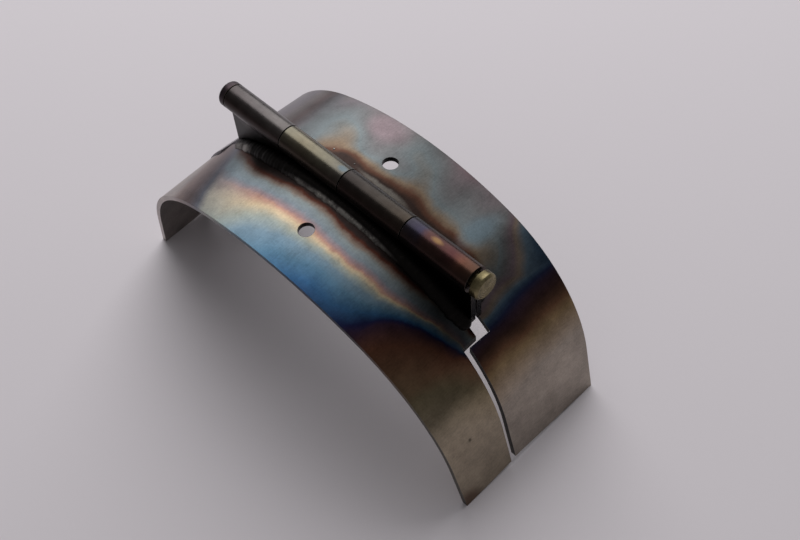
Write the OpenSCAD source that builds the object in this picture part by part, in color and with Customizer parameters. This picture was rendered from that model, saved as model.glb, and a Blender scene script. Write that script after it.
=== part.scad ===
// Mudguard hinge: two arched bands of sheet steel, joined across the crown by a pin hinge.
// X runs along the pin, Y from the front band to the rear band and Z up.
// The feet of the bands stand on Z = 0, under the middle of the pin.

/* [Bands] */
// Width over the feet of the flanges
span = 172; // [155:1:190]
// Outer radius of the crown
crown_r = 136; // [120:1:160]
// Outer radius of the shoulders
shoulder_r = 59.5; // [54:0.5:66]
// Slope of the straight flanges
flange_angle = 76; // [72:1:82]
// Length of the straight flanges
flange_l = 19.5; // [12:0.5:28]
// Thickness of the bands' sheet
sheet_t = 2; // [1.2:0.1:3]
// Width of each band, from the hinge plane to its outer edge
band_w = 37; // [32:1:60]
// Fall of each band away from the hinge plane
roof_angle = 3.1; // [1:0.1:6]

/* [Holes] */
// Diameter of the bolt hole in each crown
hole_d = 6; // [4:0.1:10]
// Distance of the bolt holes from the hinge plane
hole_reach = 20; // [16:0.5:26]

/* [Seam] */
// Length of the open slot past each end of the leaves
slot_l = 3.4; // [3:0.1:8]
// Distance of the front band's flank edges in front of the hinge plane
flank_reach = 10.4; // [8:0.1:14]
// Gap between the flank edges under the shoulders
seam_gap_top = 2.1; // [0.8:0.1:3]
// Gap between the flank edges at the feet
seam_gap_foot = 2.1; // [0.4:0.1:3]
// Gap between the rear band's tongues and the front band's crown
tongue_gap = 1.3; // [0.5:0.1:2]
// Width of the rear band's edge that lies under its leaf
seat_w = 1; // [0.4:0.1:1.6]

/* [Leaves] */
// Length of the leaves and of the barrel
leaf_l = 119; // [104:1:128]
// Thickness of the leaves' sheet
leaf_t = 2; // [1.2:0.1:3]
// Gap between the closed leaves
leaf_gap = 0.8; // [0.6:0.1:1.4]
// Number of knuckles, which belong to the two leaves in turn
knuckles = 4; // [2:1:7]
// Gap between one knuckle and the next, and under each knuckle
knuckle_gap = 0.5; // [0.3:0.1:0.8]
// Radius of the bend from a leaf into its knuckles
neck_r = 1.5; // [0.5:0.1:2.5]
// Gap where a rolled knuckle closes on its own leaf
roll_gap = 0.3; // [0.1:0.1:0.5]
// Gap between the barrel and the crown under it
barrel_lift = 1.2; // [1:0.1:4]

/* [Pin] */
// Diameter of the pin
pin_d = 6; // [5:0.1:8]
// Radial clearance of the pin in the knuckles that turn on it
running_clearance = 0.05; // [0.02:0.01:0.1]
// Diameter of the pin's heads
head_d = 10; // [8.5:0.1:12]
// Length of each head
head_l = 3.2; // [2.5:0.1:6]
// Radius of the round on the rim of each head
head_round = 1.2; // [0.4:0.1:1.6]
// Gap between the near head and the knuckle that turns past it
near_gap = 1.5; // [0.3:0.1:2]
// Gap between the far head and the knuckle that holds the pin
far_gap = 0.2; // [0.1:0.1:2]

/* [Welds] */
// Gap at the root of the front weld, between the front band and its leaf
root_gap = 1.4; // [0.6:0.1:2]
// Width of the runs over the crown, from their leaf to their toe on the band
crown_run_w = 4.8; // [4:0.1:6]
// Height of the runs over the crown, which pass under the turning knuckles
crown_run_h = 1.8; // [1.2:0.1:2]
// Width of the runs on the shoulders
shoulder_run_w = 5.2; // [4.4:0.1:6.5]
// Height of the runs on the shoulders
shoulder_run_h = 3; // [2.4:0.1:3.4]
// Radius of the rounded face of every run
run_r = 3.4; // [3:0.1:4.5]

/* [Hidden] */
$fn = 96;

// Arch outline: a crown arc, two shoulder arcs tangent to it and two straight flanges,
// where an arc reaches a little over the line that it runs into
lap = 0.0005;
flange_dx = flange_l * cos(flange_angle);
flange_dz = flange_l * sin(flange_angle);
shoulder_x = span / 2 - flange_dx - shoulder_r * sin(flange_angle);
shoulder_z = flange_dz - shoulder_r * cos(flange_angle);
bend_r = shoulder_r + lap;
crown_angle = asin(shoulder_x / (crown_r - shoulder_r));
crown_z = shoulder_z - (crown_r - shoulder_r) * cos(crown_angle);
arch_h = crown_z + crown_r;
ridge_z = band_w * sin(roof_angle) + arch_h * cos(roof_angle);

// Hinge
pin_r = pin_d / 2;
barrel_r = pin_r + leaf_t;
axis_z = ridge_z + barrel_lift + barrel_r;
leaf_face = leaf_gap / 2 + leaf_t;
leaf_top = axis_z - barrel_r - knuckle_gap;
leaf_foot = ridge_z - arch_h + arch_z(leaf_l / 2);
knuckle_pitch = leaf_l / knuckles;
neck_z = -sqrt(pow(barrel_r + neck_r, 2) - pow(leaf_face + neck_r, 2));

// Edges of the two bands around the leaves
lug_x = leaf_l / 2 + slot_l;
tongue_x = lug_x + tongue_gap;
front_edge = leaf_face + root_gap;
rear_edge = leaf_face - seat_w;
shoulder_top = ridge_z - arch_h + arch_z(tongue_x);
seam_lean = atan((seam_gap_top - seam_gap_foot) / shoulder_top);

// Welds: they end level with the ends of the leaves, and the crown run starts under the shoulder runs
run_end = arch_angle(leaf_l / 2);
crown_run_end = crown_angle + 2;

// Large enough to pass right through the part
far = 2 * (span + band_w);

// Angle from the vertical, at the arch's centre of curvature, of the point over x
function arch_angle(x) =
    x < crown_r * sin(crown_angle) ? asin(x / crown_r) : asin((x - shoulder_x) / bend_r);

// Height of the arch over x, above its feet
function arch_z(x) =
    x < crown_r * sin(crown_angle)
        ? crown_z + crown_r * cos(arch_angle(x))
        : shoulder_z + bend_r * cos(arch_angle(x));

// Point at a distance from a centre, at an angle from the vertical
function polar(centre, r, angle) = [centre.x + r * sin(angle), centre.y + r * cos(angle)];

// Slice of a disc between two angles from the vertical
module sector(centre, r, from, to) {
    intersection() {
        translate(centre) circle(r);
        polygon([centre, polar(centre, 2 * r, from), polar(centre, 2 * r, to)]);
    }
}

// Area under the arch's outline, drawn in by an inset
module arch_area(inset) {
    right = [shoulder_x, shoulder_z];
    joint = polar(right, shoulder_r - inset, crown_angle);
    knee = polar(right, shoulder_r - inset, flange_angle);
    foot = knee + 2 * [flange_dx, -flange_dz];
    intersection() {
        translate([-far / 2, 0]) square(far);
        union() {
            sector([0, crown_z], crown_r - inset, -crown_angle, crown_angle);
            for (side = [0, 1]) mirror([side, 0]) translate(right) circle(bend_r - inset);
            polygon([joint, knee, foot, [-foot.x, foot.y], [-knee.x, knee.y], [-joint.x, joint.y]]);
        }
    }
}

// Places a band's own shapes, whose crown starts at the origin and runs along -Y
module band_frame() {
    translate([0, 0, ridge_z]) rotate([roof_angle, 0, 0]) children();
}

// Bent sheet of one band, from a reach past the hinge plane out to its far edge
module bent_sheet(reach) {
    band_frame() translate([0, reach, -arch_h]) rotate([90, 0, 0]) linear_extrude(band_w + reach)
        difference() {
            arch_area(0);
            arch_area(sheet_t);
        }
}

// Everything behind a distance in front of the hinge plane
module behind(distance) {
    translate([-far / 2, -distance, -far / 2]) cube(far);
}

// Everything within a distance of the middle, to both sides
module within(distance) {
    translate([-distance, -far / 2, -far / 2]) cube([2 * distance, far, far]);
}

module bolt_hole() {
    band_frame() translate([0, -hole_reach, -2 * sheet_t]) cylinder(h = 3 * sheet_t, d = hole_d);
}

// Carries a section round the arch; x is the height over the sheet, y the distance from the hinge plane
module sweep(centre, r, from, to) {
    band_frame() translate([centre.x, 0, centre.y - arch_h]) rotate([90, 0, 0]) rotate(90 - to)
        rotate_extrude(angle = to - from) translate([r, 0]) children();
}

// One run over the crown and one on each shoulder; the children draw their sections
module weld_runs() {
    sweep([0, crown_z], crown_r, -crown_run_end, crown_run_end) children(0);
    for (side = [0, 1]) mirror([side, 0, 0])
        sweep([shoulder_x, shoulder_z], bend_r, crown_angle, run_end) children(1);
}

// Rounded section of a run, from its leaf to its toe
module run_section(w, h) {
    half_w = sqrt(pow(run_r, 2) - pow(run_r - h, 2));
    intersection() {
        translate([h - run_r, leaf_face + w - half_w]) circle(run_r);
        square(4 * run_r);
    }
}

// Fillet weld that lies on a band along the foot of its leaf
module bead() {
    difference() {
        weld_runs() {
            run_section(crown_run_w, crown_run_h);
            run_section(shoulder_run_w, shoulder_run_h);
        }
        behind(leaf_face);
    }
}

// Weld metal in the gap between the front leaf and the edge of its band
module root_fill() {
    difference() {
        weld_runs() {
            root_section();
            root_section();
        }
        behind(leaf_face);
        translate([0, -far - front_edge, 0]) behind(0);
    }
}

module root_section() {
    translate([-sheet_t, 0]) square([sheet_t + crown_run_h / 4, front_edge + root_gap]);
}

// Section of a rolled knuckle round the pin, with the neck that carries it
module knuckle_section(bore_r) {
    neck_y = -leaf_face - neck_r;
    root_z = (leaf_top + ridge_z) / 2 - axis_z;
    difference() {
        union() {
            circle(barrel_r);
            translate([-leaf_face, root_z]) square([leaf_t, -root_z]);
            difference() {
                polygon([[0, 0], [neck_y, neck_z], [-leaf_face, neck_z]]);
                translate([neck_y, neck_z]) circle(neck_r + lap);
            }
        }
        circle(bore_r);
        translate([-leaf_gap / 2, -2 * barrel_r]) square([roll_gap, 2 * barrel_r]);
    }
}

// Leaf with every second knuckle, standing in front of the hinge plane
module leaf(first, bore_r) {
    translate([0, -leaf_gap / 2, 0]) rotate([90, 0, 0]) linear_extrude(leaf_t)
        difference() {
            translate([-leaf_l / 2, leaf_foot - sheet_t]) square([leaf_l, leaf_top - leaf_foot + sheet_t]);
            translate([0, ridge_z - arch_h]) arch_area(0);
        }
    for (i = [first : 2 : knuckles - 1])
        translate([(i - knuckles / 2) * knuckle_pitch + knuckle_gap / 2, 0, axis_z]) rotate([90, 0, 90])
            linear_extrude(knuckle_pitch - knuckle_gap) knuckle_section(bore_r);
}

module front_band() {
    color("lightslategray") difference() {
        bent_sheet(0);
        behind(front_edge);
        difference() {
            behind(flank_reach);
            within(lug_x);
        }
        bolt_hole();
    }
}

module rear_band() {
    color("rosybrown") mirror([0, 1, 0]) difference() {
        bent_sheet(flank_reach);
        intersection() {
            behind(rear_edge);
            within(tongue_x);
        }
        translate([0, flank_reach - seam_gap_foot, 0]) rotate([seam_lean, 0, 0]) behind(0);
        bolt_hole();
    }
}

module front_leaf() {
    color("dimgray") leaf(0, pin_r);
}

module rear_leaf() {
    color("darkkhaki") mirror([0, 1, 0]) leaf(1, pin_r + running_clearance);
}

module head() {
    rotate_extrude() {
        square([head_d / 2, head_l - head_round]);
        square([head_d / 2 - head_round, head_l]);
        translate([head_d / 2 - head_round, head_l - head_round]) circle(head_round);
    }
}

module hinge_pin() {
    near_end = leaf_l / 2 + near_gap;
    far_end = leaf_l / 2 + far_gap;
    color("goldenrod") translate([0, 0, axis_z]) rotate([0, 90, 0]) {
        translate([0, 0, -far_end - head_l / 2]) cylinder(h = far_end + near_end + head_l, r = pin_r);
        translate([0, 0, near_end]) head();
        mirror([0, 0, 1]) translate([0, 0, far_end]) head();
    }
}

module front_weld() {
    color("silver") {
        bead();
        root_fill();
    }
}

module rear_weld() {
    color("silver") mirror([0, 1, 0]) bead();
}

front_band();
rear_band();
front_leaf();
rear_leaf();
hinge_pin();
front_weld();
rear_weld();
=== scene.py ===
"""Looks of a welded mudguard hinge: heat-tinted sheet steel on pale paper.

Laid out as an add-on and run as a script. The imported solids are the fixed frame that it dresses.
"""

import math
import random

import bpy
from bpy.props import FloatProperty, FloatVectorProperty, IntProperty, PointerProperty
from mathutils import Matrix, Vector


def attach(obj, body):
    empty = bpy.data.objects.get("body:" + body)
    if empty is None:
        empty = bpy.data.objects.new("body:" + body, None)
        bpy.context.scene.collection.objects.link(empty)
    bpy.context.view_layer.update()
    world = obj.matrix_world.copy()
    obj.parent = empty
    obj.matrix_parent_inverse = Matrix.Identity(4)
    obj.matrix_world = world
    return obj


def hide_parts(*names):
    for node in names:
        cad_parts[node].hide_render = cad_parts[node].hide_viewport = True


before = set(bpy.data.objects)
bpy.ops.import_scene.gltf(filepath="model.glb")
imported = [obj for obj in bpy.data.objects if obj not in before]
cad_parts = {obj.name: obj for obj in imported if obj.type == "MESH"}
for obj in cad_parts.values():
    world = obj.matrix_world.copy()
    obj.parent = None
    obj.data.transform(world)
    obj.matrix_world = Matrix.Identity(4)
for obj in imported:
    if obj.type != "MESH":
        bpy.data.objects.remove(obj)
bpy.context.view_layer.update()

bl_info = {
    "name": "Mudguard Hinge",
    "version": (1, 0, 0),
    "blender": (4, 5, 0),
    "location": "3D Viewport > Sidebar > Hinge",
    "description": "Finishes a welded mudguard hinge in heat-tinted steel and sets it on paper",
    "category": "Object",
}

MM = 0.001
MATH = "ShaderNodeMath"
MERGE_WITHIN = 0.002 * MM
SMOOTH_UNDER = math.radians(40)
EDGE_RADIUS = 0.22 * MM
RIPPLE_SEGMENTS, RIPPLE_RINGS = 20, 12
CLIP_FROM, CLIP_TO = 0.01, 20.0


def linear(hex_colour):
    """Linear RGBA of an sRGB hex colour."""
    channels = [int(hex_colour[i:i + 2], 16) / 255 for i in (1, 3, 5)]
    return tuple(c / 12.92 if c <= 0.04045 else ((c + 0.055) / 1.055) ** 2.4 for c in channels) + (1.0,)


def length(name, description, millimetres):
    """A length that the sidebar shows in the scene's units."""
    return FloatProperty(
        name=name, description=description, default=millimetres * MM, min=0, unit="LENGTH", precision=5)


def tint(name, description, hex_colour):
    """A colour that the sidebar shows as a swatch."""
    return FloatVectorProperty(
        name=name, description=description, default=linear(hex_colour), size=4, min=0, max=1, subtype="COLOR")


class HingeSizes(bpy.types.PropertyGroup):
    """Sizes of the arch that the looks follow, as on the solids."""

    crown_r: length("Crown radius", "Outer radius of the crown of the arch", 136)
    shoulder_r: length("Shoulder radius", "Outer radius of the shoulders of the arch", 59.5)
    shoulder_x: length("Shoulder offset", "Distance of a shoulder's centre from the middle", 23.549)
    shoulder_z: length("Shoulder height", "Height of a shoulder's centre over the feet of its band", 4.526)
    arch_h: length("Arch height", "Height of the arch over the feet of its band", 67.741)
    ridge_z: length("Ridge height", "Height of the ridge where the two bands meet", 69.643)
    roof_angle: FloatProperty(
        name="Roof angle", description="Fall of each band away from the ridge", default=math.radians(3.1),
        subtype="ANGLE")
    leaf_face: length("Leaf face", "Distance of a leaf's outer face from the hinge plane", 2.4)
    axis_z: length("Axis height", "Height of the pin's axis", 75.843)


class FrontTint(bpy.types.PropertyGroup):
    """Colours of the oxide on the front band, from its weld outwards."""

    scale: tint("Scale", "Black scale beside the weld", "#211b1a")
    rust: tint("Rust", "Dark rust at the edge of the scale", "#3a1f18")
    sand: tint("Sand", "Thin film just outside the scale", "#5a5049")
    silver: tint("Silver", "Palest steel blue", "#5f6566")
    steel_blue: tint("Steel blue", "Grey blue ahead of the rose line", "#5a6167")
    rose: tint("Rose", "Rose line", "#6e5c5e")
    orange: tint("Orange", "Orange under the rose line", "#87695d")
    gold: tint("Gold", "Gold under the orange", "#97876f")
    pale_green: tint("Pale green", "Yellow turning to blue", "#727670")
    sky: tint("Sky", "Light blue", "#556570")
    blue: tint("Blue", "Full blue", "#3f586a")
    deep_blue: tint("Deep blue", "Blue turning dark", "#294663")
    navy: tint("Navy", "Darkest blue", "#1c1e3c")
    purple: tint("Purple", "Dark purple brown", "#3a2830")
    brown: tint("Brown", "Dark brown", "#6c4738")
    copper: tint("Copper", "Copper brown", "#8a6852")
    straw: tint("Straw", "Straw at the edge of the tint", "#887a61")
    bare: tint("Bare", "Bare sheet", "#978b79")
    start_pale: tint("Start, pale", "Palest blue near the start of the weld", "#76828a")
    start_violet: tint("Start, violet", "Grey violet at the start of the weld", "#55565f")
    start_brown: tint("Start, brown", "Brown grey ahead of the weld", "#5d5152")
    start_straw: tint("Start, straw", "Straw ahead of the weld", "#786965")
    start_bare: tint("Start, bare", "Bare sheet ahead of the weld", "#98908c")


class RearTint(bpy.types.PropertyGroup):
    """Colours of the oxide on the rear band, which took less heat at its far edge."""

    scale: tint("Scale", "Black scale beside the weld", "#291f1c")
    rust: tint("Rust", "Rust at the edge of the scale", "#483026")
    olive: tint("Olive", "Thin film just outside the scale", "#655749")
    silver: tint("Silver", "Steel blue", "#5d6365")
    smoke: tint("Smoke", "Grey ahead of the rose line", "#595859")
    rose: tint("Rose", "Faint rose line", "#64565a")
    gold: tint("Gold", "Faint gold line", "#75675c")
    sky: tint("Sky", "Light blue", "#566470")
    blue: tint("Blue", "Full blue", "#3a4a5c")
    navy: tint("Navy", "Darkest blue", "#262a43")
    purple: tint("Purple", "Dark purple brown", "#362935")
    brown: tint("Brown", "Dark brown", "#432f2c")
    copper: tint("Copper", "Copper brown", "#75543f")
    straw: tint("Straw", "Straw at the edge of the tint", "#8e7758")
    bare: tint("Bare", "Bare sheet", "#998f84")
    start_pale: tint("Start, pale", "Palest blue near the start of the weld", "#646c70")
    start_violet: tint("Start, violet", "Grey violet at the start of the weld", "#585356")
    start_brown: tint("Start, brown", "Brown grey ahead of the weld", "#625656")
    start_straw: tint("Start, straw", "Straw ahead of the weld", "#77706f")
    start_bare: tint("Start, bare", "Bare sheet ahead of the weld", "#7c777c")


# Distance from the weld at which each colour lies, in millimetres of even sheet
FRONT_AT = {
    "scale": 8.0, "rust": 9.0, "sand": 10.2, "silver": 11.4, "steel_blue": 13.0, "rose": 14.3, "orange": 15.0,
    "gold": 15.8, "pale_green": 17.0, "sky": 18.4, "blue": 20.4, "deep_blue": 22.4, "navy": 24.8,
    "purple": 27.4, "brown": 31.0, "copper": 38.0, "straw": 50.0, "bare": 74.0,
}
REAR_AT = {
    "scale": 7.2, "rust": 8.6, "olive": 9.8, "silver": 11.2, "smoke": 12.6, "rose": 14.4, "gold": 15.5,
    "sky": 17.4, "blue": 19.6, "navy": 22.6, "purple": 25.4, "brown": 30.0, "copper": 36.0, "straw": 41.0,
    "bare": 58.0,
}
TINT_END = 80.0
# Place round the arch of each colour ahead of the weld's start, in millimetres from the middle
FRONT_START = {"start_bare": -69, "start_straw": -63, "start_brown": -55, "start_violet": -49}
REAR_START = {"start_bare": -60, "start_straw": -54, "start_brown": -49, "start_violet": -45}
START_FROM, START_TO = -80.0, -40.0
# How light the sheet is at a place round the arch, as a factor on its colour
FRONT_LEVEL = [
    (-50, 1.15), (-36, 1.05), (-14, 1.0), (4, 0.82), (14, 0.84), (26, 0.66), (44, 0.54), (52, 0.46), (60, 0.52),
    (66, 0.66), (78, 0.66), (83, 1.0)]
REAR_LEVEL = [
    (-56, 0.85), (-40, 0.76), (-24, 0.95), (-8, 0.84), (5, 0.47), (18, 0.42), (25, 0.4), (34, 0.63), (42, 0.86),
    (50, 0.85), (57, 0.92), (62, 0.7), (66, 1.0), (70, 0.85), (74, 0.62), (79, 0.92), (90, 0.95)]
LEVEL_FROM, LEVEL_TO = -60.0, 100.0
# Lean of the colours ahead of the weld, and how far the tint drifts from place to place
FRONT_SLANT, REAR_SLANT = 0.5, 0.0
FRONT_DRIFT, REAR_DRIFT = 1.5, 8.0
# Patches where smoke or spatter changed the tint: middle and half length round the arch, then middle and half
# width outwards, and the colour
FRONT_PATCHES = [(60, 12, 10.5, 4.5, "#38373a"), (121, 8, 35, 6, "#54392a")]
REAR_PATCHES = [(7, 15, 10.4, 1.6, "#605c57"), (-13, 12, 32, 8, "#695c60"), (40, 6, 23, 11, "#58666e")]
# Pits in the sheet, a millimetre across: place round the arch and outwards
FRONT_PITS = [(95.1, 26.3)]
REAR_PITS = []

# Tints along the barrel, by the distance from its middle in millimetres
BARREL_HALF = 65.0
GREY_BARREL = [
    (-58, "#433e3e"), (-46, "#4b4747"), (-34, "#534f4e"), (-20, "#454140"), (0, "#2b2726"), (16, "#2e2a27"),
    (30, "#322c27")]
TINTED_BARREL = [
    (-30, "#5f5b50"), (-20, "#5d574a"), (-10, "#59554a"), (-3, "#504d47"), (15, "#3a3638"), (31, "#29272e"),
    (36, "#2b2834"), (39, "#3a2827"), (45, "#382624"), (49, "#3a2424"), (54, "#482f27"), (59, "#3d2c24")]
# Spots of another tint where the heat broke through: middle, half sizes and colour
TINTED_SPOTS = [((42.5, 0.3, 80.8), (2.9, 1.2, 3), "#5a4530"), ((-2, 0.6, 80.8), (2.2, 1.4, 3), "#4a5256")]
GREY_ROUGHNESS, TINTED_ROUGHNESS = 0.23, 0.21

# Stretches of painted highlight along the crest of a bead: middle and half length round the arch, then middle and
# half width outwards
FRONT_CREST_HIGHLIGHTS = [(-54, 8, 7.0, 2.0), (2, 27, 7.7, 1.4)]
REAR_CREST_HIGHLIGHTS = [(8, 26, 8, 3.5), (-15, 12, 11.5, 2)]
# Drops beside the rear bead: place round the arch and outwards, and size
REAR_DROPS = [(-20.5, 11.8, 0.6), (-9, 11.2, 0.5)]

# Noise scales, in waves to the metre, with the size of what they draw
HEAT_WANDER = 42.0  # 24 mm
HEAT_RIPPLE = 190.0  # 5 mm
SHEET_CLOUD = 130.0  # 8 mm
SHEET_GRAIN = 1500.0  # 0.7 mm
BARREL_WANDER = 150.0  # 7 mm
BARREL_CLOUD = 260.0  # 4 mm
BARREL_STROKES = (120.0, 2200.0, 2200.0)  # strokes 8 mm long and 0.5 mm wide
PIN_CLOUD = 420.0  # 2.4 mm
WELD_CRUST = 330.0  # 3 mm
WELD_GLINTS = 900.0  # 1.1 mm
PAPER_FIBRE = 400.0  # 2.5 mm


class WeldSettings(bpy.types.PropertyGroup):
    """Shape of the two weld beads."""

    start_run: length("Start run", "Length of a bead from its start to the middle, round the arch", 58.5)
    pitch: length("Ripple pitch", "Distance between ripples", 1.7)
    front_width: length("Front width", "Width of the front bead on its band", 6.4)
    rear_width: length("Rear width", "Width of the rear bead on its band", 8.2)
    crown_rise: length("Rise at the crown", "Height of a bead over the crown", 1.7)
    shoulder_rise: length("Rise at the shoulders", "Height of a bead near its ends", 2.4)
    grain: length("Mesh grain", "Size of the faces of a bead", 0.24)
    front_end: length("Front end run", "Length of the front bead from the middle to its end", 60.5)
    rear_end: length("Rear end run", "Length of the rear bead from the middle to its end", 57)
    lean: FloatProperty(
        name="Lean", description="Lean of the ripples from the band towards the leaf", default=math.radians(26),
        subtype="ANGLE")
    smoothing: IntProperty(name="Smoothing", description="Rounds of smoothing of a bead", default=14)
    seed: IntProperty(name="Seed", description="Start of the random draws", default=7)


class StageSettings(bpy.types.PropertyGroup):
    """Paper, lamps and camera."""

    paper: tint("Paper", "Colour of the paper", "#d6d0d5")
    paper_size: length("Paper size", "Width and depth of the paper", 30000)
    room: tint("Room", "Light from the room all round", "#ffffff")
    room_level: FloatProperty(name="Room level", description="Strength of the light from the room", default=0.2)
    softbox_power: FloatProperty(
        name="Softbox", description="Power of the soft light", default=19.3, unit="POWER")
    softbox_size: length("Softbox size", "Width and depth of the soft light", 1500)
    softbox_at: FloatVectorProperty(
        name="Softbox place", description="Place of the soft light", default=(-0.64, 0.66, 0.93),
        subtype="TRANSLATION", unit="LENGTH")
    lens: FloatProperty(name="Lens", description="Focal length of the camera", default=52.569, unit="CAMERA")
    sensor: FloatProperty(name="Sensor", description="Width of the camera's sensor", default=36, unit="CAMERA")
    camera_at: FloatVectorProperty(
        name="Camera", description="Place of the camera", default=(0.205685, -0.155554, 0.377128),
        subtype="TRANSLATION", unit="LENGTH")
    camera_turn: FloatVectorProperty(
        name="Camera turn", description="Turn of the camera", subtype="EULER",
        default=(math.radians(35.8682), math.radians(3.1973), math.radians(45.1602)))


class HingeSettings(bpy.types.PropertyGroup):
    """All settings of the hinge."""

    sizes: PointerProperty(type=HingeSizes)
    front_tint: PointerProperty(type=FrontTint)
    rear_tint: PointerProperty(type=RearTint)
    weld: PointerProperty(type=WeldSettings)
    stage: PointerProperty(type=StageSettings)


def add_node(tree, kind, settings=None, links=None, stops=None):
    """Adds a node with its settings; each link is a value, a socket or a node whose first output is meant."""
    node = tree.nodes.new(kind)
    for name, value in (settings or {}).items():
        setattr(node, name, value)
    for key, value in (links or {}).items():
        if isinstance(value, bpy.types.Node):
            value = value.outputs[0]
        if isinstance(value, bpy.types.NodeSocket):
            tree.links.new(value, node.inputs[key])
        else:
            node.inputs[key].default_value = value
    for i, (at, colour) in enumerate(stops or []):
        ramp = node.color_ramp.elements
        stop = ramp[i] if i < 2 else ramp.new(at)
        stop.position, stop.color = at, colour
    return node


def new_material(name):
    """An empty material and its node tree."""
    material = bpy.data.materials.new(name)
    material.use_nodes = True
    material.node_tree.nodes.clear()
    return material, material.node_tree


def finish_piece(node, name, material, body):
    """A copy of a solid in its material, with its triangles merged so that light runs evenly over its bends."""
    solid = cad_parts[node]
    bpy.ops.object.select_all(action="DESELECT")
    solid.select_set(True)
    bpy.context.view_layer.objects.active = solid
    bpy.ops.object.duplicate()
    piece = bpy.context.active_object
    piece.name = name
    bpy.ops.object.mode_set(mode="EDIT")
    bpy.ops.mesh.select_all(action="SELECT")
    bpy.ops.mesh.remove_doubles(threshold=MERGE_WITHIN)
    bpy.ops.mesh.customdata_custom_splitnormals_clear()
    bpy.ops.object.mode_set(mode="OBJECT")
    bpy.ops.object.shade_smooth_by_angle(angle=SMOOTH_UNDER)
    piece.data.materials.clear()
    piece.data.materials.append(material)
    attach(piece, body)
    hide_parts(node)


def arch_coordinates(tree, sizes, side):
    """Sockets on one band: the place, the way round the arch from the middle and the way out from the hinge in
    millimetres, and how squarely the surface faces away from the sheet."""
    place = add_node(tree, "ShaderNodeTexCoord")
    scaled = add_node(
        tree, "ShaderNodeVectorMath", {"operation": "SCALE"}, {0: place.outputs["Object"], "Scale": 1 / MM})
    axes = add_node(tree, "ShaderNodeSeparateXYZ", links={0: scaled})
    fall = math.tan(sizes.roof_angle)
    foot = sizes.ridge_z - sizes.arch_h
    crown_angle = math.asin(sizes.shoulder_x / (sizes.crown_r - sizes.shoulder_r))
    x = add_node(tree, MATH, {"operation": "ABSOLUTE"}, {0: axes.outputs["X"]})
    y = add_node(tree, MATH, {"operation": "MULTIPLY"}, {0: axes.outputs["Y"], 1: side})
    z = add_node(tree, MATH, {"operation": "MULTIPLY_ADD"}, {0: y, 1: fall, 2: axes.outputs["Z"]})
    over = add_node(tree, MATH, {"operation": "SUBTRACT"}, {0: z, 1: (sizes.ridge_z - sizes.crown_r) / MM})
    lean = add_node(tree, MATH, {"operation": "ARCTAN2"}, {0: x, 1: over})
    crown = add_node(tree, MATH, {"operation": "MULTIPLY"}, {0: lean, 1: sizes.crown_r / MM})
    across = add_node(tree, MATH, {"operation": "SUBTRACT"}, {0: x, 1: sizes.shoulder_x / MM})
    over = add_node(tree, MATH, {"operation": "SUBTRACT"}, {0: z, 1: (foot + sizes.shoulder_z) / MM})
    turn = add_node(tree, MATH, {"operation": "ARCTAN2"}, {0: across, 1: over})
    start = (sizes.crown_r - sizes.shoulder_r) * crown_angle / MM
    shoulder = add_node(tree, MATH, {"operation": "MULTIPLY_ADD"}, {0: turn, 1: sizes.shoulder_r / MM, 2: start})
    bent = add_node(tree, MATH, {"operation": "GREATER_THAN"}, {0: turn, 1: crown_angle})
    arc = add_node(tree, "ShaderNodeMix", links={0: bent, 2: crown, 3: shoulder})
    sign = add_node(tree, MATH, {"operation": "SIGN"}, {0: axes.outputs["X"]})
    around = add_node(tree, MATH, {"operation": "MULTIPLY"}, {0: arc, 1: sign})
    drop = add_node(tree, MATH, {"operation": "MULTIPLY_ADD"}, {0: z, 1: -fall, 2: y})
    out = add_node(tree, MATH, {"operation": "ADD"}, {0: drop, 1: fall * sizes.ridge_z / MM})
    lean = add_node(tree, "ShaderNodeMix", links={0: bent, 2: lean, 3: turn})
    lean = add_node(tree, MATH, {"operation": "MULTIPLY"}, {0: lean, 1: sign})
    upright = add_node(
        tree, "ShaderNodeCombineXYZ", links={
            0: add_node(tree, MATH, {"operation": "SINE"}, {0: lean}),
            2: add_node(tree, MATH, {"operation": "COSINE"}, {0: lean})})
    square = add_node(
        tree, "ShaderNodeVectorMath", {"operation": "DOT_PRODUCT"}, {0: place.outputs["Normal"], 1: upright})
    square = add_node(tree, MATH, {"operation": "ABSOLUTE"}, {0: square.outputs["Value"]})
    return place.outputs["Object"], around, out, square


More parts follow.
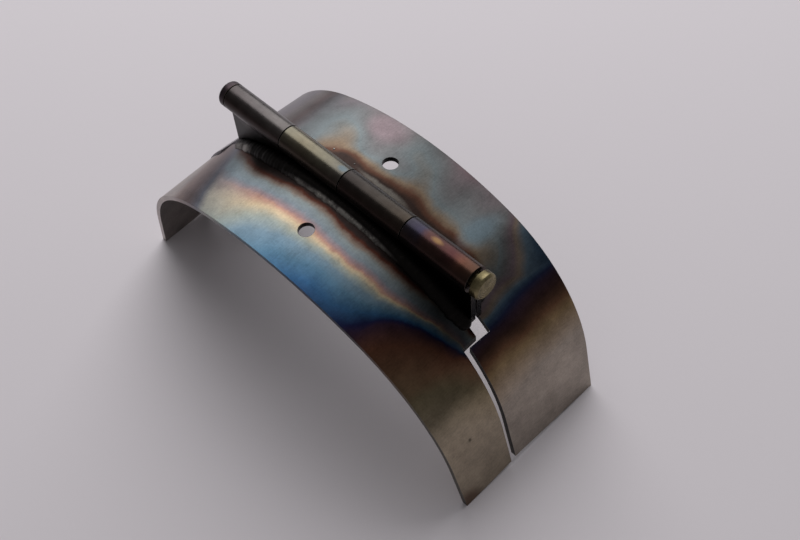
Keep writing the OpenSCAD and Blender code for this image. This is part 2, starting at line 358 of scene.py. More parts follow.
def front_reach(tree, around, out):
    """How far from the weld a spot on the front band lies, in millimetres of even sheet."""
    gold_line = 15.0
    # Heat dams up at the far edge of the band, so the colours spread out there
    dam = add_node(tree, MATH, {"operation": "MULTIPLY_ADD"}, {0: out, 1: -1 / 90, 2: 1.0})
    even = add_node(tree, MATH, {"operation": "MULTIPLY"}, {0: out, 1: dam})
    along = add_node(tree, MATH, {"operation": "ADD"}, {0: around, 1: 4.0})
    away = add_node(tree, MATH, {"operation": "ABSOLUTE"}, {0: along})
    gold = add_node(tree, "ShaderNodeMapRange", links={0: away, 1: 38.0, 2: 75.0, 3: gold_line, 4: 8.5})
    early = add_node(tree, "ShaderNodeMapRange", links={0: along, 1: -38.0, 2: -14.0, 3: 1.9, 4: 0.0})
    gold = add_node(tree, MATH, {"operation": "ADD"}, {0: gold, 1: early})
    reach = add_node(tree, MATH, {"operation": "DIVIDE"}, {0: even, 1: gold})
    reach = add_node(tree, MATH, {"operation": "MULTIPLY"}, {0: reach, 1: gold_line})
    # The scale is narrow where the weld starts
    start = add_node(tree, "ShaderNodeMapRange", links={0: along, 1: -44.0, 2: -26.0, 3: 2.0, 4: 0.0})
    close = add_node(tree, "ShaderNodeMapRange", links={0: even, 1: 7.0, 2: 13.0, 3: 1.0, 4: 0.0})
    reach = add_node(tree, MATH, {"operation": "MULTIPLY_ADD"}, {0: start, 1: close, 2: reach})
    # Along the weld the colours beyond the gold crowd together, and most towards its end
    early = add_node(tree, "ShaderNodeMapRange", links={0: along, 1: -26.0, 2: 20.0, 3: -0.6, 4: 0.2})
    mid = add_node(tree, "ShaderNodeMapRange", links={0: along, 1: 30.0, 2: 42.0, 3: 0.0, 4: 0.4})
    late = add_node(tree, "ShaderNodeMapRange", links={0: along, 1: 43.0, 2: 64.0, 3: 0.0, 4: 2.9})
    crowd = add_node(tree, MATH, {"operation": "ADD"}, {0: early, 1: late})
    crowd = add_node(tree, MATH, {"operation": "ADD"}, {0: crowd, 1: mid})
    past = add_node(tree, MATH, {"operation": "SUBTRACT"}, {0: even, 1: gold})
    past = add_node(tree, MATH, {"operation": "MAXIMUM"}, {0: past, 1: 0.0})
    reach = add_node(tree, MATH, {"operation": "MULTIPLY_ADD"}, {0: past, 1: crowd, 2: reach})
    # Beyond the navy the browns fall off slowly
    slow = add_node(tree, MATH, {"operation": "SUBTRACT"}, {0: reach, 1: 27.0})
    slow = add_node(tree, MATH, {"operation": "MAXIMUM"}, {0: slow, 1: 0.0})
    reach = add_node(tree, MATH, {"operation": "MULTIPLY_ADD"}, {0: slow, 1: -0.65, 2: reach})
    far_end = add_node(tree, MATH, {"operation": "SUBTRACT"}, {0: along, 1: 70.0})
    far_end = add_node(tree, MATH, {"operation": "MAXIMUM"}, {0: far_end, 1: 0.0})
    return add_node(tree, MATH, {"operation": "MULTIPLY_ADD"}, {0: far_end, 1: 1.4, 2: reach})


def rear_reach(tree, around, out):
    """How far from the weld a spot on the rear band lies, in millimetres of even sheet."""
    # The scale makes a lens shape beside the weld, widest near the middle
    lens = add_node(tree, MATH, {"operation": "SUBTRACT"}, {0: around, 1: 16.0})
    lens = add_node(tree, MATH, {"operation": "POWER"}, {0: lens, 1: 2.0})
    lens = add_node(tree, MATH, {"operation": "MULTIPLY_ADD"}, {0: lens, 1: -0.0042, 2: 15.6})
    lens = add_node(tree, MATH, {"operation": "MAXIMUM"}, {0: lens, 1: 5.0})
    near = add_node(tree, MATH, {"operation": "DIVIDE"}, {0: out, 1: lens})
    near = add_node(tree, MATH, {"operation": "MULTIPLY"}, {0: near, 1: 8.3})
    # Past the end of the weld the tongue has no scale of its own
    freed = add_node(tree, "ShaderNodeMapRange", links={0: around, 1: 57.0, 2: 66.0, 3: 0.0, 4: 30.0})
    near = add_node(tree, MATH, {"operation": "ADD"}, {0: near, 1: freed})
    level = add_node(tree, MATH, {"operation": "MULTIPLY_ADD"}, {0: out, 1: 0.1, 2: 9.7})
    reach = add_node(tree, MATH, {"operation": "SMOOTH_MIN"}, {0: near, 1: level, 2: 2.0})
    slant = add_node(tree, MATH, {"operation": "MULTIPLY_ADD"}, {0: out, 1: 0.8, 2: around})
    rise = add_node(tree, "ShaderNodeMapRange", links={0: slant, 1: 69.0, 2: 85.0, 3: 0.0, 4: 6.2})
    last = add_node(tree, "ShaderNodeMapRange", links={0: around, 1: 56.0, 2: 65.0, 3: 0.0, 4: 7.5})
    rise = add_node(tree, MATH, {"operation": "MAXIMUM"}, {0: rise, 1: last})
    reach = add_node(tree, MATH, {"operation": "ADD"}, {0: reach, 1: rise})
    far_end = add_node(tree, MATH, {"operation": "SUBTRACT"}, {0: around, 1: 63.0})
    far_end = add_node(tree, MATH, {"operation": "MAXIMUM"}, {0: far_end, 1: 0.0})
    return add_node(tree, MATH, {"operation": "MULTIPLY_ADD"}, {0: far_end, 1: 1.25, 2: reach})


def rounded_edges_painted_highlight(tree, colour, light):
    """Rounds the sharp edges to the eye and paints them lighter, a painted highlight along the edges."""
    soft = add_node(tree, "ShaderNodeBevel", {"samples": 6}, {"Radius": EDGE_RADIUS})
    flat = add_node(tree, "ShaderNodeNewGeometry").outputs["Normal"]
    same = add_node(tree, "ShaderNodeVectorMath", {"operation": "DOT_PRODUCT"}, {0: soft, 1: flat})
    # Painted highlight: where the rounded normal leaves the flat one, the colour is mixed towards the light
    # colour
    highlight_mask = add_node(
        tree, "ShaderNodeMapRange", links={0: same.outputs["Value"], 1: 0.98, 2: 0.82, 3: 0.0, 4: 0.7})
    highlighted = add_node(tree, "ShaderNodeMix", {"data_type": "RGBA"}, {0: highlight_mask, 6: colour, 7: light})
    return highlighted.outputs[2], soft


def tinted_steel(
        name, sizes, side, colours, colours_at, start_at, start_slant, levels, reach_of, drift, patches, pits):
    """Cold-rolled sheet steel as it left the welder's bench: satin, with bands of thin oxide that run from straw
    at the edge of the heat over purple, blue, gold and rose to black scale at the weld."""
    material, tree = new_material(name)
    place, around, out, square = arch_coordinates(tree, sizes, side)
    # The edges of the oxide wander by a few millimetres over a palm's width, and by less over a finger's
    wander = add_node(tree, "ShaderNodeTexNoise", links={"Vector": place, "Scale": HEAT_WANDER, "Detail": 1.0})
    wander = add_node(tree, "ShaderNodeSeparateColor", links={0: wander.outputs["Color"]})
    ripple = add_node(
        tree, "ShaderNodeTexNoise",
        links={"Vector": place, "Scale": HEAT_RIPPLE, "Detail": 5.0, "Roughness": 0.62})
    shift = add_node(tree, MATH, {"operation": "MULTIPLY_ADD"}, {0: wander.outputs[0], 1: 7.0, 2: -3.5})
    moved = add_node(tree, MATH, {"operation": "ADD"}, {0: around, 1: shift})
    shift = add_node(tree, MATH, {"operation": "MULTIPLY_ADD"}, {0: wander.outputs[1], 1: 4.0, 2: -3.4})
    shift = add_node(tree, MATH, {"operation": "MULTIPLY_ADD"}, {0: ripple, 1: 2.8, 2: shift})
    strayed = add_node(tree, MATH, {"operation": "ADD"}, {0: out, 1: shift})
    reach = reach_of(tree, moved, strayed)
    cast = add_node(tree, MATH, {"operation": "MULTIPLY_ADD"}, {0: wander.outputs[2], 1: drift, 2: -drift / 2})
    reach = add_node(tree, MATH, {"operation": "ADD"}, {0: reach, 1: cast})
    share = add_node(tree, MATH, {"operation": "DIVIDE"}, {0: reach, 1: TINT_END})
    film = add_node(
        tree, "ShaderNodeValToRGB", links={0: share},
        stops=[(at / TINT_END, getattr(colours, key)) for key, at in colours_at.items()])
    for middle, half, at, wide, colour in patches:
        spot = add_node(tree, "ShaderNodeCombineXYZ", links={0: moved, 1: strayed})
        spot = add_node(tree, "ShaderNodeVectorMath", {"operation": "SUBTRACT"}, {0: spot, 1: (middle, at, 0.0)})
        spot = add_node(tree, "ShaderNodeVectorMath", {"operation": "DIVIDE"}, {0: spot, 1: (half, wide, 1.0)})
        spot = add_node(tree, "ShaderNodeVectorMath", {"operation": "LENGTH"}, {0: spot})
        spot = add_node(
            tree, "ShaderNodeMapRange", {"interpolation_type": "SMOOTHSTEP"},
            {0: spot.outputs["Value"], 1: 0.3, 2: 1.1, 3: 0.75, 4: 0.0})
        film = add_node(
            tree, "ShaderNodeMix", {"data_type": "RGBA"}, {0: spot, 6: film, 7: linear(colour)}).outputs[2]
    # Ahead of the weld the colours pale, and then end in a narrow run of violet, brown and straw
    pale = add_node(tree, "ShaderNodeMapRange", links={0: moved, 1: -44.0, 2: -24.0, 3: 0.5, 4: 0.0})
    thin = add_node(tree, "ShaderNodeMapRange", links={0: reach, 1: 9.4, 2: 11.0})
    pale = add_node(tree, MATH, {"operation": "MULTIPLY"}, {0: pale, 1: thin})
    film = add_node(
        tree, "ShaderNodeMix", {"data_type": "RGBA"}, {0: pale, 6: film, 7: colours.start_pale}).outputs[2]
    slant = add_node(tree, MATH, {"operation": "MULTIPLY_ADD"}, {0: out, 1: -start_slant, 2: 22 * start_slant})
    slant = add_node(tree, MATH, {"operation": "ADD"}, {0: moved, 1: slant})
    share = add_node(tree, "ShaderNodeMapRange", links={0: slant, 1: START_FROM, 2: START_TO})
    ahead = add_node(
        tree, "ShaderNodeValToRGB", links={0: share},
        stops=[
            ((at - START_FROM) / (START_TO - START_FROM), getattr(colours, key)) for key, at in start_at.items()])
    begun = add_node(
        tree, "ShaderNodeMapRange",
        links={0: slant, 1: start_at["start_violet"], 2: start_at["start_violet"] + 4.0, 3: 1.0, 4: 0.0})
    film = add_node(tree, "ShaderNodeMix", {"data_type": "RGBA"}, {0: begun, 6: film, 7: ahead}).outputs[2]
    # Cloudy smudges a few millimetres across, and a drawn grain across the band, a third of a millimetre fine
    cloud = add_node(
        tree, "ShaderNodeTexNoise",
        links={"Vector": place, "Scale": SHEET_CLOUD, "Detail": 5.0, "Roughness": 0.65})
    strokes = add_node(
        tree, "ShaderNodeCombineXYZ", links={
            0: add_node(tree, MATH, {"operation": "MULTIPLY"}, {0: around, 1: 3.0}),
            1: add_node(tree, MATH, {"operation": "MULTIPLY"}, {0: out, 1: 0.22})})
    drawn = add_node(tree, "ShaderNodeTexNoise", links={"Vector": strokes, "Scale": 1.0, "Detail": 3.0})
    grain = add_node(tree, "ShaderNodeTexNoise", links={"Vector": place, "Scale": SHEET_GRAIN, "Detail": 2.0})
    shade = add_node(tree, "ShaderNodeMapRange", links={0: cloud, 1: 0.3, 2: 0.7, 3: 0.78, 4: 1.2})
    shade = add_node(tree, MATH, {"operation": "MULTIPLY_ADD"}, {0: drawn, 1: 0.5, 2: shade})
    shade = add_node(tree, MATH, {"operation": "MULTIPLY_ADD"}, {0: grain, 1: 0.44, 2: shade})
    shade = add_node(tree, MATH, {"operation": "SUBTRACT"}, {0: shade, 1: 0.47})
    share = add_node(tree, "ShaderNodeMapRange", links={0: moved, 1: LEVEL_FROM, 2: LEVEL_TO})
    level = add_node(
        tree, "ShaderNodeValToRGB", links={0: share},
        stops=[((at - LEVEL_FROM) / (LEVEL_TO - LEVEL_FROM), (light, light, light, 1)) for at, light in levels])
    shade = add_node(tree, MATH, {"operation": "MULTIPLY"}, {0: shade, 1: level})
    # Painted shade: the cut faces of the seam, the holes and the far flank are painted nearly black
    painted_shade = add_node(tree, "ShaderNodeMapRange", links={0: square, 1: 0.93, 2: 0.82, 3: 0.0, 4: 0.9})
    inner = add_node(tree, "ShaderNodeMapRange", links={0: out, 1: 30.0, 2: 34.0, 3: 1.0, 4: 0.0})
    flank = add_node(tree, "ShaderNodeMapRange", links={0: around, 1: 58.0, 2: 84.0, 3: 0.0, 4: 0.8})
    inner = add_node(tree, MATH, {"operation": "MAXIMUM"}, {0: inner, 1: flank})
    painted_shade = add_node(tree, MATH, {"operation": "MULTIPLY"}, {0: painted_shade, 1: inner})
    late = add_node(tree, "ShaderNodeMapRange", links={0: around, 1: -30.0, 2: -10.0, 3: 0.0, 4: 1.0})
    painted_shade = add_node(tree, MATH, {"operation": "MULTIPLY"}, {0: painted_shade, 1: late})
    unshaded = add_node(tree, MATH, {"operation": "SUBTRACT"}, {0: 1.0, 1: painted_shade})
    shade = add_node(tree, MATH, {"operation": "MULTIPLY"}, {0: shade, 1: unshaded})
    for pit_around, pit_out in pits:
        spot = add_node(tree, "ShaderNodeCombineXYZ", links={0: around, 1: out})
        spot = add_node(
            tree, "ShaderNodeVectorMath", {"operation": "DISTANCE"}, {0: spot, 1: (pit_around, pit_out, 0.0)})
        spot = add_node(
            tree, "ShaderNodeMapRange", links={0: spot.outputs["Value"], 1: 0.3, 2: 0.9, 3: 0.35, 4: 1.0})
        shade = add_node(tree, MATH, {"operation": "MULTIPLY"}, {0: shade, 1: spot})
    colour = add_node(
        tree, "ShaderNodeMix", {"data_type": "RGBA", "blend_type": "MULTIPLY"}, {0: 1.0, 6: film, 7: shade})
    # Painted highlight: the sharp edges of the bands are painted a light grey
    colour, soft = rounded_edges_painted_highlight(tree, colour.outputs[2], linear("#8d8a88"))
    rough = add_node(tree, MATH, {"operation": "MULTIPLY_ADD"}, {0: cloud, 1: 0.14, 2: 0.29})
    bump = add_node(
        tree, "ShaderNodeBump",
        links={"Strength": 0.6, "Distance": 0.02 * MM, "Height": grain, "Normal": soft})
    steel = add_node(
        tree, "ShaderNodeBsdfPrincipled",
        links={"Base Color": colour, "Metallic": 1.0, "Roughness": rough, "Normal": bump})
    add_node(tree, "ShaderNodeOutputMaterial", links={"Surface": steel})
    return material


def rolled_steel(name, stops, roughness, spots):
    """Sheet rolled round a pin and tinted by the weld below it: the tint changes along the barrel. Painted shade
    darkens the foot of the leaf and the front side of the barrel, with a painted brown reflection there."""
    material, tree = new_material(name)
    side_shade_none, side_shade_full = 79.6 * MM, 75.2 * MM
    foot_shade_full, foot_shade_none = 66 * MM, 72.5 * MM
    stray = 5 * MM
    place = add_node(tree, "ShaderNodeTexCoord").outputs["Object"]
    axes = add_node(tree, "ShaderNodeSeparateXYZ", links={0: place})
    wander = add_node(
        tree, "ShaderNodeTexNoise", links={"Vector": place, "Scale": BARREL_WANDER, "Detail": 3.0})
    along = add_node(tree, MATH, {"operation": "MULTIPLY_ADD"}, {0: wander, 1: stray, 2: axes.outputs["X"]})
    share = add_node(
        tree, "ShaderNodeMapRange",
        links={0: along, 1: stray / 2 - BARREL_HALF * MM, 2: stray / 2 + BARREL_HALF * MM, 3: 0.0, 4: 1.0})
    film = add_node(
        tree, "ShaderNodeValToRGB", links={0: share},
        stops=[((x + BARREL_HALF) / (2 * BARREL_HALF), linear(colour)) for x, colour in stops])
    for centre, reach, colour in spots:
        apart = add_node(
            tree, "ShaderNodeVectorMath", {"operation": "SUBTRACT"}, {0: place, 1: Vector(centre) * MM})
        apart = add_node(
            tree, "ShaderNodeVectorMath", {"operation": "DIVIDE"}, {0: apart, 1: Vector(reach) * MM})
        apart = add_node(tree, "ShaderNodeVectorMath", {"operation": "LENGTH"}, {0: apart})
        apart = add_node(tree, MATH, {"operation": "ADD"}, {0: apart.outputs["Value"], 1: wander})
        hit = add_node(tree, "ShaderNodeMapRange", links={0: apart, 1: 0.9, 2: 1.6, 3: 1.0, 4: 0.0})
        film = add_node(
            tree, "ShaderNodeMix", {"data_type": "RGBA"}, {0: hit, 6: film, 7: linear(colour)}).outputs[2]
    # Painted shade and a painted reflection of the rusty band: the front side of the barrel, away from its
    # highlight, and the foot are painted dark brown
    side_shade_slope = add_node(
        tree, MATH, {"operation": "MULTIPLY_ADD"}, {0: axes.outputs["Y"], 1: 0.8, 2: axes.outputs["Z"]})
    painted_side_shade = add_node(
        tree, "ShaderNodeMapRange", links={0: side_shade_slope, 1: side_shade_none, 2: side_shade_full, 3: 0.0, 4: 0.8})
    film = add_node(
        tree, "ShaderNodeMix", {"data_type": "RGBA"}, {0: painted_side_shade, 6: film, 7: linear("#2b201d")}).outputs[2]
    # Painted shade: the foot of the leaf, down by the band and the weld, is painted darker
    painted_shade = add_node(
        tree, "ShaderNodeMapRange", links={0: axes.outputs["Z"], 1: foot_shade_full, 2: foot_shade_none, 3: 0.15, 4: 1.0})
    strokes = add_node(
        tree, "ShaderNodeMapping", links={"Vector": place, "Scale": BARREL_STROKES})
    drawn = add_node(tree, "ShaderNodeTexNoise", links={"Vector": strokes, "Scale": 1.0, "Detail": 3.0})
    cloud = add_node(
        tree, "ShaderNodeTexNoise",
        links={"Vector": place, "Scale": BARREL_CLOUD, "Detail": 5.0, "Roughness": 0.65})
    shade = add_node(tree, "ShaderNodeMapRange", links={0: cloud, 1: 0.3, 2: 0.7, 3: 0.72, 4: 1.08})
    shade = add_node(tree, MATH, {"operation": "MULTIPLY_ADD"}, {0: drawn, 1: 0.4, 2: shade})
    shade = add_node(tree, MATH, {"operation": "SUBTRACT"}, {0: shade, 1: 0.1})
    shade = add_node(tree, MATH, {"operation": "MULTIPLY"}, {0: shade, 1: painted_shade})
    colour = add_node(
        tree, "ShaderNodeMix", {"data_type": "RGBA", "blend_type": "MULTIPLY"}, {0: 1.0, 6: film, 7: shade})
    # Painted highlight: the sharp edges of the leaves are painted a light grey
    colour, soft = rounded_edges_painted_highlight(tree, colour.outputs[2], linear("#6f6a66"))
    rough = add_node(tree, MATH, {"operation": "MULTIPLY_ADD"}, {0: cloud, 1: 0.16, 2: roughness})
    bump = add_node(
        tree, "ShaderNodeBump",
        links={"Strength": 0.5, "Distance": 0.01 * MM, "Height": drawn, "Normal": soft})
    steel = add_node(
        tree, "ShaderNodeBsdfPrincipled",
        links={"Base Color": colour, "Metallic": 1.0, "Roughness": rough, "Normal": bump})
    add_node(tree, "ShaderNodeOutputMaterial", links={"Surface": steel})
    return material


def turned_steel(name, sizes):
    """Bar turned on a lathe: fine rings on the faces of its heads, dark violet at the cold end and straw at the
    end that the weld warmed last."""
    material, tree = new_material(name)
    # Tool marks are drawn this far apart so that they show
    ring_pitch = 0.8 * MM
    place = add_node(tree, "ShaderNodeTexCoord").outputs["Object"]
    apart = add_node(
        tree, "ShaderNodeVectorMath", {"operation": "SUBTRACT"}, {0: place, 1: (0.0, 0.0, sizes.axis_z)})
    axes = add_node(tree, "ShaderNodeSeparateXYZ", links={0: apart})
    share = add_node(
        tree, "ShaderNodeMapRange",
        links={0: axes.outputs["X"], 1: -BARREL_HALF * MM, 2: BARREL_HALF * MM, 3: 0.0, 4: 1.0})
    film = add_node(
        tree, "ShaderNodeValToRGB", links={0: share},
        stops=[
            (0.0, linear("#342c33")), (0.04, linear("#3a3134")), (0.9, linear("#4a4336")),
            (0.975, linear("#585039")), (0.99, linear("#857a5c"))])
    across = add_node(tree, "ShaderNodeCombineXYZ", links={0: axes.outputs["Y"], 1: axes.outputs["Z"]})
    radius = add_node(tree, "ShaderNodeVectorMath", {"operation": "LENGTH"}, {0: across})
    rings = add_node(
        tree, MATH, {"operation": "MULTIPLY"}, {0: radius.outputs["Value"], 1: 2 * math.pi / ring_pitch})
    rings = add_node(tree, MATH, {"operation": "SINE"}, {0: rings})
    cloud = add_node(
        tree, "ShaderNodeTexNoise",
        links={"Vector": place, "Scale": PIN_CLOUD, "Detail": 4.0, "Roughness": 0.6})
    shade = add_node(tree, "ShaderNodeMapRange", links={0: cloud, 1: 0.35, 2: 0.65, 3: 0.6, 4: 1.15})
    colour = add_node(
        tree, "ShaderNodeMix", {"data_type": "RGBA", "blend_type": "MULTIPLY"}, {0: 1.0, 6: film, 7: shade})
    # Painted highlight: the sharp edges of the pin are painted a light straw grey
    colour, soft = rounded_edges_painted_highlight(tree, colour.outputs[2], linear("#857c60"))
    bump = add_node(
        tree, "ShaderNodeBump", links={"Strength": 0.8, "Distance": 0.05 * MM, "Height": rings, "Normal": soft})
    rough = add_node(tree, MATH, {"operation": "MULTIPLY_ADD"}, {0: cloud, 1: 0.2, 2: 0.28})
    steel = add_node(
        tree, "ShaderNodeBsdfPrincipled",
        links={"Base Color": colour, "Metallic": 1.0, "Roughness": rough, "Normal": bump})
    add_node(tree, "ShaderNodeOutputMaterial", links={"Surface": steel})
    return material


def weld_metal(name, sizes, side, crest_highlights):
    """Weld metal left as it froze: black with soot, with a painted grey highlight along the outer foot of its
    ripples and a few painted glints, small bright specks."""
    material, tree = new_material(name)
    place, around, out, _ = arch_coordinates(tree, sizes, side)
    patch = add_node(
        tree, "ShaderNodeTexNoise",
        links={"Vector": place, "Scale": WELD_CRUST, "Detail": 5.0, "Roughness": 0.65})
    # Painted highlight: grey stretches painted along the crest of the bead, where light catches its outer foot
    grey = None
    for middle, half, at, wide in crest_highlights:
        along = add_node(tree, MATH, {"operation": "SUBTRACT"}, {0: around, 1: middle})
        along = add_node(tree, MATH, {"operation": "DIVIDE"}, {0: along, 1: half})
        across = add_node(tree, MATH, {"operation": "SUBTRACT"}, {0: out, 1: at})
        across = add_node(tree, MATH, {"operation": "DIVIDE"}, {0: across, 1: wide})
        apart = add_node(tree, "ShaderNodeCombineXYZ", links={0: along, 1: across, 2: 0.0})
        apart = add_node(tree, "ShaderNodeVectorMath", {"operation": "LENGTH"}, {0: apart})
        here = add_node(
            tree, "ShaderNodeMapRange", links={0: apart.outputs["Value"], 1: 0.5, 2: 1.1, 3: 1.0, 4: 0.0})
        grey = here if grey is None else add_node(tree, MATH, {"operation": "MAXIMUM"}, {0: grey, 1: here})
    # The painted crest highlight is broken up by the crust noise
    bare = add_node(tree, "ShaderNodeMapRange", links={0: patch, 1: 0.36, 2: 0.6, 3: 0.3, 4: 1.0})
    grey = add_node(tree, MATH, {"operation": "MULTIPLY"}, {0: grey, 1: bare})
    # The black weld metal lightens to grey where the crest highlight is painted
    film = add_node(
        tree, "ShaderNodeValToRGB", links={0: grey},
        stops=[(0.0, linear("#151211")), (0.25, linear("#454140")), (0.8, linear("#918d89"))])
    # Painted glints: small near-white specks on the painted crest highlight
    glint = add_node(tree, "ShaderNodeTexVoronoi", links={"Vector": place, "Scale": WELD_GLINTS})
    glint = add_node(
        tree, "ShaderNodeMapRange", links={0: glint.outputs["Distance"], 1: 0.1, 2: 0.22, 3: 1.0, 4: 0.0})
    glint = add_node(tree, MATH, {"operation": "MULTIPLY"}, {0: glint, 1: grey})
    colour = add_node(
        tree, "ShaderNodeMix", {"data_type": "RGBA"}, {0: glint, 6: film, 7: linear("#c9c5bc")})
    rough = add_node(tree, "ShaderNodeMapRange", links={0: patch, 1: 0.3, 2: 0.7, 3: 0.62, 4: 0.4})
    bump = add_node(tree, "ShaderNodeBump", links={"Strength": 0.7, "Distance": 0.15 * MM, "Height": patch})
    steel = add_node(
        tree, "ShaderNodeBsdfPrincipled",
        links={"Base Color": colour.outputs[2], "Metallic": 0.9, "Roughness": rough, "Normal": bump})
    add_node(tree, "ShaderNodeOutputMaterial", links={"Surface": steel})
    return material


def arch_point(sizes, arc):
    """Place over a band's feet, and slope from the vertical, at an arc length from the crown's middle."""
    crown_angle = math.asin(sizes.shoulder_x / (sizes.crown_r - sizes.shoulder_r))
    side, arc = (1 if arc >= 0 else -1), abs(arc)
    if arc < sizes.crown_r * crown_angle:
        angle = arc / sizes.crown_r
        x, z = sizes.crown_r * math.sin(angle), sizes.arch_h - sizes.crown_r * (1 - math.cos(angle))
    else:
        angle = crown_angle + (arc - sizes.crown_r * crown_angle) / sizes.shoulder_r
        x = sizes.shoulder_x + sizes.shoulder_r * math.sin(angle)
        z = sizes.shoulder_z + sizes.shoulder_r * math.cos(angle)
    return side * x, z, side * angle


def lay_bead(name, settings, side, width, end_run, draw, drops):
    """A row of overlapping ripples, melted into one bead along the foot of a leaf, and drops beside it."""
    sizes, weld = settings.sizes, settings.weld
    bpy.ops.object.select_all(action="DESELECT")
    bpy.ops.mesh.primitive_uv_sphere_add(segments=RIPPLE_SEGMENTS, ring_count=RIPPLE_RINGS, radius=1)
    ripple = bpy.context.active_object
    # The underside is cut away where it would show through the sheet below
    bpy.ops.object.mode_set(mode="EDIT")
    bpy.ops.mesh.select_all(action="SELECT")
    bpy.ops.mesh.bisect(
        plane_co=(0, 0.35 * side, -0.35), plane_no=(0, -0.7 * side, 0.7), use_fill=True, clear_inner=True)
    bpy.ops.object.mode_set(mode="OBJECT")
    ripples = []

    def put_ripple(arc, y, lift, tilt, radii):
        x, height, angle = arch_point(sizes, arc)
        z = sizes.ridge_z + (height - sizes.arch_h) / math.cos(sizes.roof_angle) - y * math.tan(sizes.roof_angle)
        copy = ripple.copy()
        copy.data = ripple.data.copy()
        copy.matrix_world = (
            Matrix.Translation((x, side * y, z)) @ Matrix.Rotation(angle, 4, "Y")
            @ Matrix.Translation((0, 0, lift)) @ Matrix.Rotation(-tilt * side, 4, "X")
            @ Matrix.Diagonal((*radii, 1)))
        bpy.context.collection.objects.link(copy)
        ripples.append(copy)

    steps = round((weld.start_run + end_run) / weld.pitch)
    for i in range(steps + 1):
        arc = -weld.start_run + weld.pitch * i + draw.uniform(-0.15, 0.15) * weld.pitch
        end = min(abs(arc) / weld.start_run, 1)
        rise = weld.crown_rise + (weld.shoulder_rise - weld.crown_rise) * end ** 2
        # The bead starts and ends thin
        thin = min(1, 0.5 + 0.04 * i, 0.7 + 0.1 * (steps - i))
        grow = thin * draw.uniform(0.95, 1.05)
        half = (0.5 + 0.5 * grow) * width / 2
        put_ripple(
            arc, sizes.leaf_face + 0.84 * half + draw.uniform(-0.15, 0.15) * MM, 0.15 * rise, weld.lean,
            (1.5 * weld.pitch, half, grow * rise))
    for arc, out, size in drops:
        put_ripple(arc * MM, out * MM, 0, 0, (size * MM, size * MM, 0.7 * size * MM))
    bpy.data.objects.remove(ripple)
    bpy.ops.object.select_all(action="DESELECT")
    for copy in ripples:
        copy.select_set(True)
    bead = bpy.context.view_layer.objects.active = ripples[0]
    bpy.ops.object.join()
    bpy.ops.object.transform_apply(location=True, rotation=True, scale=True)
    bead.name = name
    melt = bead.modifiers.new("Melt", "REMESH")
    melt.mode, melt.voxel_size = "VOXEL", weld.grain
    bpy.ops.object.modifier_apply(modifier=melt.name)
    smooth = bead.modifiers.new("Flow", "SMOOTH")
    smooth.factor, smooth.iterations = 0.5, weld.smoothing
    bpy.ops.object.modifier_apply(modifier=smooth.name)
    bpy.ops.object.shade_smooth()
    return bead


class HINGE_OT_finish_bands(bpy.types.Operator):
    """Tints the two bent bands with the heat of the weld"""

    bl_idname = "mudguard_hinge.finish_bands"
    bl_label = "Finish bands"

    def execute(self, context):
        settings = context.scene.mudguard_hinge
        front = tinted_steel(
            "Front sheet steel", settings.sizes, -1, settings.front_tint, FRONT_AT, FRONT_START, FRONT_SLANT,
            FRONT_LEVEL, front_reach, FRONT_DRIFT, FRONT_PATCHES, FRONT_PITS)
        rear = tinted_steel(
            "Rear sheet steel", settings.sizes, 1, settings.rear_tint, REAR_AT, REAR_START, REAR_SLANT,
            REAR_LEVEL, rear_reach, REAR_DRIFT, REAR_PATCHES, REAR_PITS)
        finish_piece("front_band", "front_sheet", front, "front_half")
        finish_piece("rear_band", "rear_sheet", rear, "rear_half")
        return {"FINISHED"}


class HINGE_OT_finish_leaves(bpy.types.Operator):
    """Tints the two rolled leaves"""

    bl_idname = "mudguard_hinge.finish_leaves"
    bl_label = "Finish leaves"

    def execute(self, context):
        front = rolled_steel("Rolled grey steel", GREY_BARREL, GREY_ROUGHNESS, [])
        rear = rolled_steel("Rolled tinted steel", TINTED_BARREL, TINTED_ROUGHNESS, TINTED_SPOTS)
        finish_piece("front_leaf", "front_rolled_leaf", front, "front_half")
        finish_piece("rear_leaf", "rear_rolled_leaf", rear, "rear_half")
        return {"FINISHED"}


class HINGE_OT_finish_pin(bpy.types.Operator):
    """Tints the turned pin"""

    bl_idname = "mudguard_hinge.finish_pin"
    bl_label = "Finish pin"

    def execute(self, context):
        pin = turned_steel("Turned straw steel", context.scene.mudguard_hinge.sizes)
        finish_piece("hinge_pin", "turned_pin", pin, "front_half")
        return {"FINISHED"}


class HINGE_OT_lay_welds(bpy.types.Operator):
    """Lays a rippled weld bead along the foot of each leaf"""

    bl_idname = "mudguard_hinge.lay_welds"
    bl_label = "Lay welds"

    def execute(self, context):
        settings = context.scene.mudguard_hinge
        weld = settings.weld
        draw = random.Random(weld.seed)
        runs = (
            (-1, "front", weld.front_width, weld.front_end, FRONT_CREST_HIGHLIGHTS, []),
            (1, "rear", weld.rear_width, weld.rear_end, REAR_CREST_HIGHLIGHTS, REAR_DROPS))
        for side, end, width, end_run, crest_highlights, drops in runs:
            bead = lay_bead(end + "_bead", settings, side, width, end_run, draw, drops)
            bead.data.materials.clear()
            bead.data.materials.append(weld_metal(end.title() + " weld metal", settings.sizes, side, crest_highlights))
            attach(bead, end + "_half")
            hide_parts(end + "_weld")
        return {"FINISHED"}


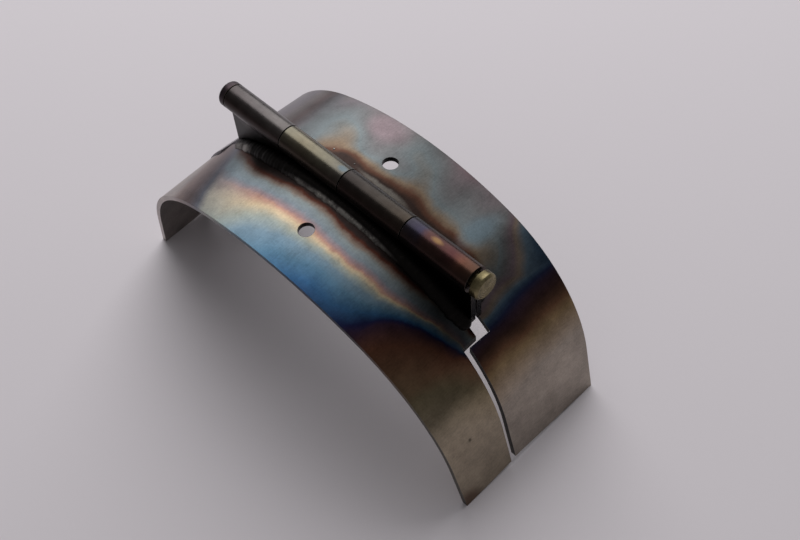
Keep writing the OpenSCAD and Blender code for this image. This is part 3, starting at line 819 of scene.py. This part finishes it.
class HINGE_OT_set_stage(bpy.types.Operator):
    """Lays the paper and sets the lamps and the camera"""

    bl_idname = "mudguard_hinge.set_stage"
    bl_label = "Set stage"

    def execute(self, context):
        stage = context.scene.mudguard_hinge.stage
        scene = context.scene
        bpy.ops.object.select_all(action="DESELECT")
        bpy.ops.mesh.primitive_plane_add(size=stage.paper_size)
        paper = context.active_object
        paper.name = "paper"
        material, tree = new_material("Matt paper")
        place = add_node(tree, "ShaderNodeTexCoord").outputs["Object"]
        fibre = add_node(
            tree, "ShaderNodeTexNoise", links={"Vector": place, "Scale": PAPER_FIBRE, "Detail": 4.0})
        bump = add_node(tree, "ShaderNodeBump", links={"Strength": 0.2, "Distance": 0.1 * MM, "Height": fibre})
        sheet = add_node(
            tree, "ShaderNodeBsdfPrincipled",
            links={"Base Color": stage.paper, "Roughness": 0.9, "Normal": bump})
        add_node(tree, "ShaderNodeOutputMaterial", links={"Surface": sheet})
        paper.data.materials.append(material)

        world = bpy.data.worlds.new("Room")
        scene.world = world
        world.use_nodes = True
        background = world.node_tree.nodes["Background"]
        background.inputs["Color"].default_value = stage.room
        background.inputs["Strength"].default_value = stage.room_level

        bpy.ops.object.light_add(type="AREA", location=stage.softbox_at)
        softbox = context.active_object
        softbox.name = "softbox"
        softbox.data.energy, softbox.data.size = stage.softbox_power, stage.softbox_size
        softbox.rotation_euler = Vector(stage.softbox_at).to_track_quat("Z", "Y").to_euler()

        bpy.ops.object.camera_add(location=stage.camera_at, rotation=stage.camera_turn)
        camera = context.active_object
        camera.name = "camera"
        camera.data.lens, camera.data.sensor_width = stage.lens, stage.sensor
        camera.data.clip_start, camera.data.clip_end = CLIP_FROM, CLIP_TO
        scene.camera = camera
        scene.view_settings.view_transform = "Standard"
        return {"FINISHED"}


OPERATORS = (
    HINGE_OT_set_stage, HINGE_OT_finish_bands, HINGE_OT_finish_leaves, HINGE_OT_finish_pin, HINGE_OT_lay_welds)


class HINGE_PT_sidebar(bpy.types.Panel):
    """Lists the steps and their settings"""

    bl_label = "Mudguard Hinge"
    bl_idname = "HINGE_PT_sidebar"
    bl_space_type = "VIEW_3D"
    bl_region_type = "UI"
    bl_category = "Hinge"

    def draw(self, context):
        for operator in OPERATORS:
            self.layout.operator(operator.bl_idname)
        settings = context.scene.mudguard_hinge
        for group in (settings.sizes, settings.front_tint, settings.rear_tint, settings.weld, settings.stage):
            box = self.layout.box()
            for name in group.__annotations__:
                box.prop(group, name)


GROUPS = (HingeSizes, FrontTint, RearTint, WeldSettings, StageSettings, HingeSettings)


def register():
    for item in GROUPS + OPERATORS + (HINGE_PT_sidebar,):
        bpy.utils.register_class(item)
    bpy.types.Scene.mudguard_hinge = PointerProperty(type=HingeSettings)


def unregister():
    del bpy.types.Scene.mudguard_hinge
    for item in reversed(GROUPS + OPERATORS + (HINGE_PT_sidebar,)):
        bpy.utils.unregister_class(item)


def main():
    register()
    bpy.ops.mudguard_hinge.set_stage()
    bpy.ops.mudguard_hinge.finish_bands()
    bpy.ops.mudguard_hinge.finish_leaves()
    bpy.ops.mudguard_hinge.finish_pin()
    bpy.ops.mudguard_hinge.lay_welds()


if __name__ == "__main__":
    main()
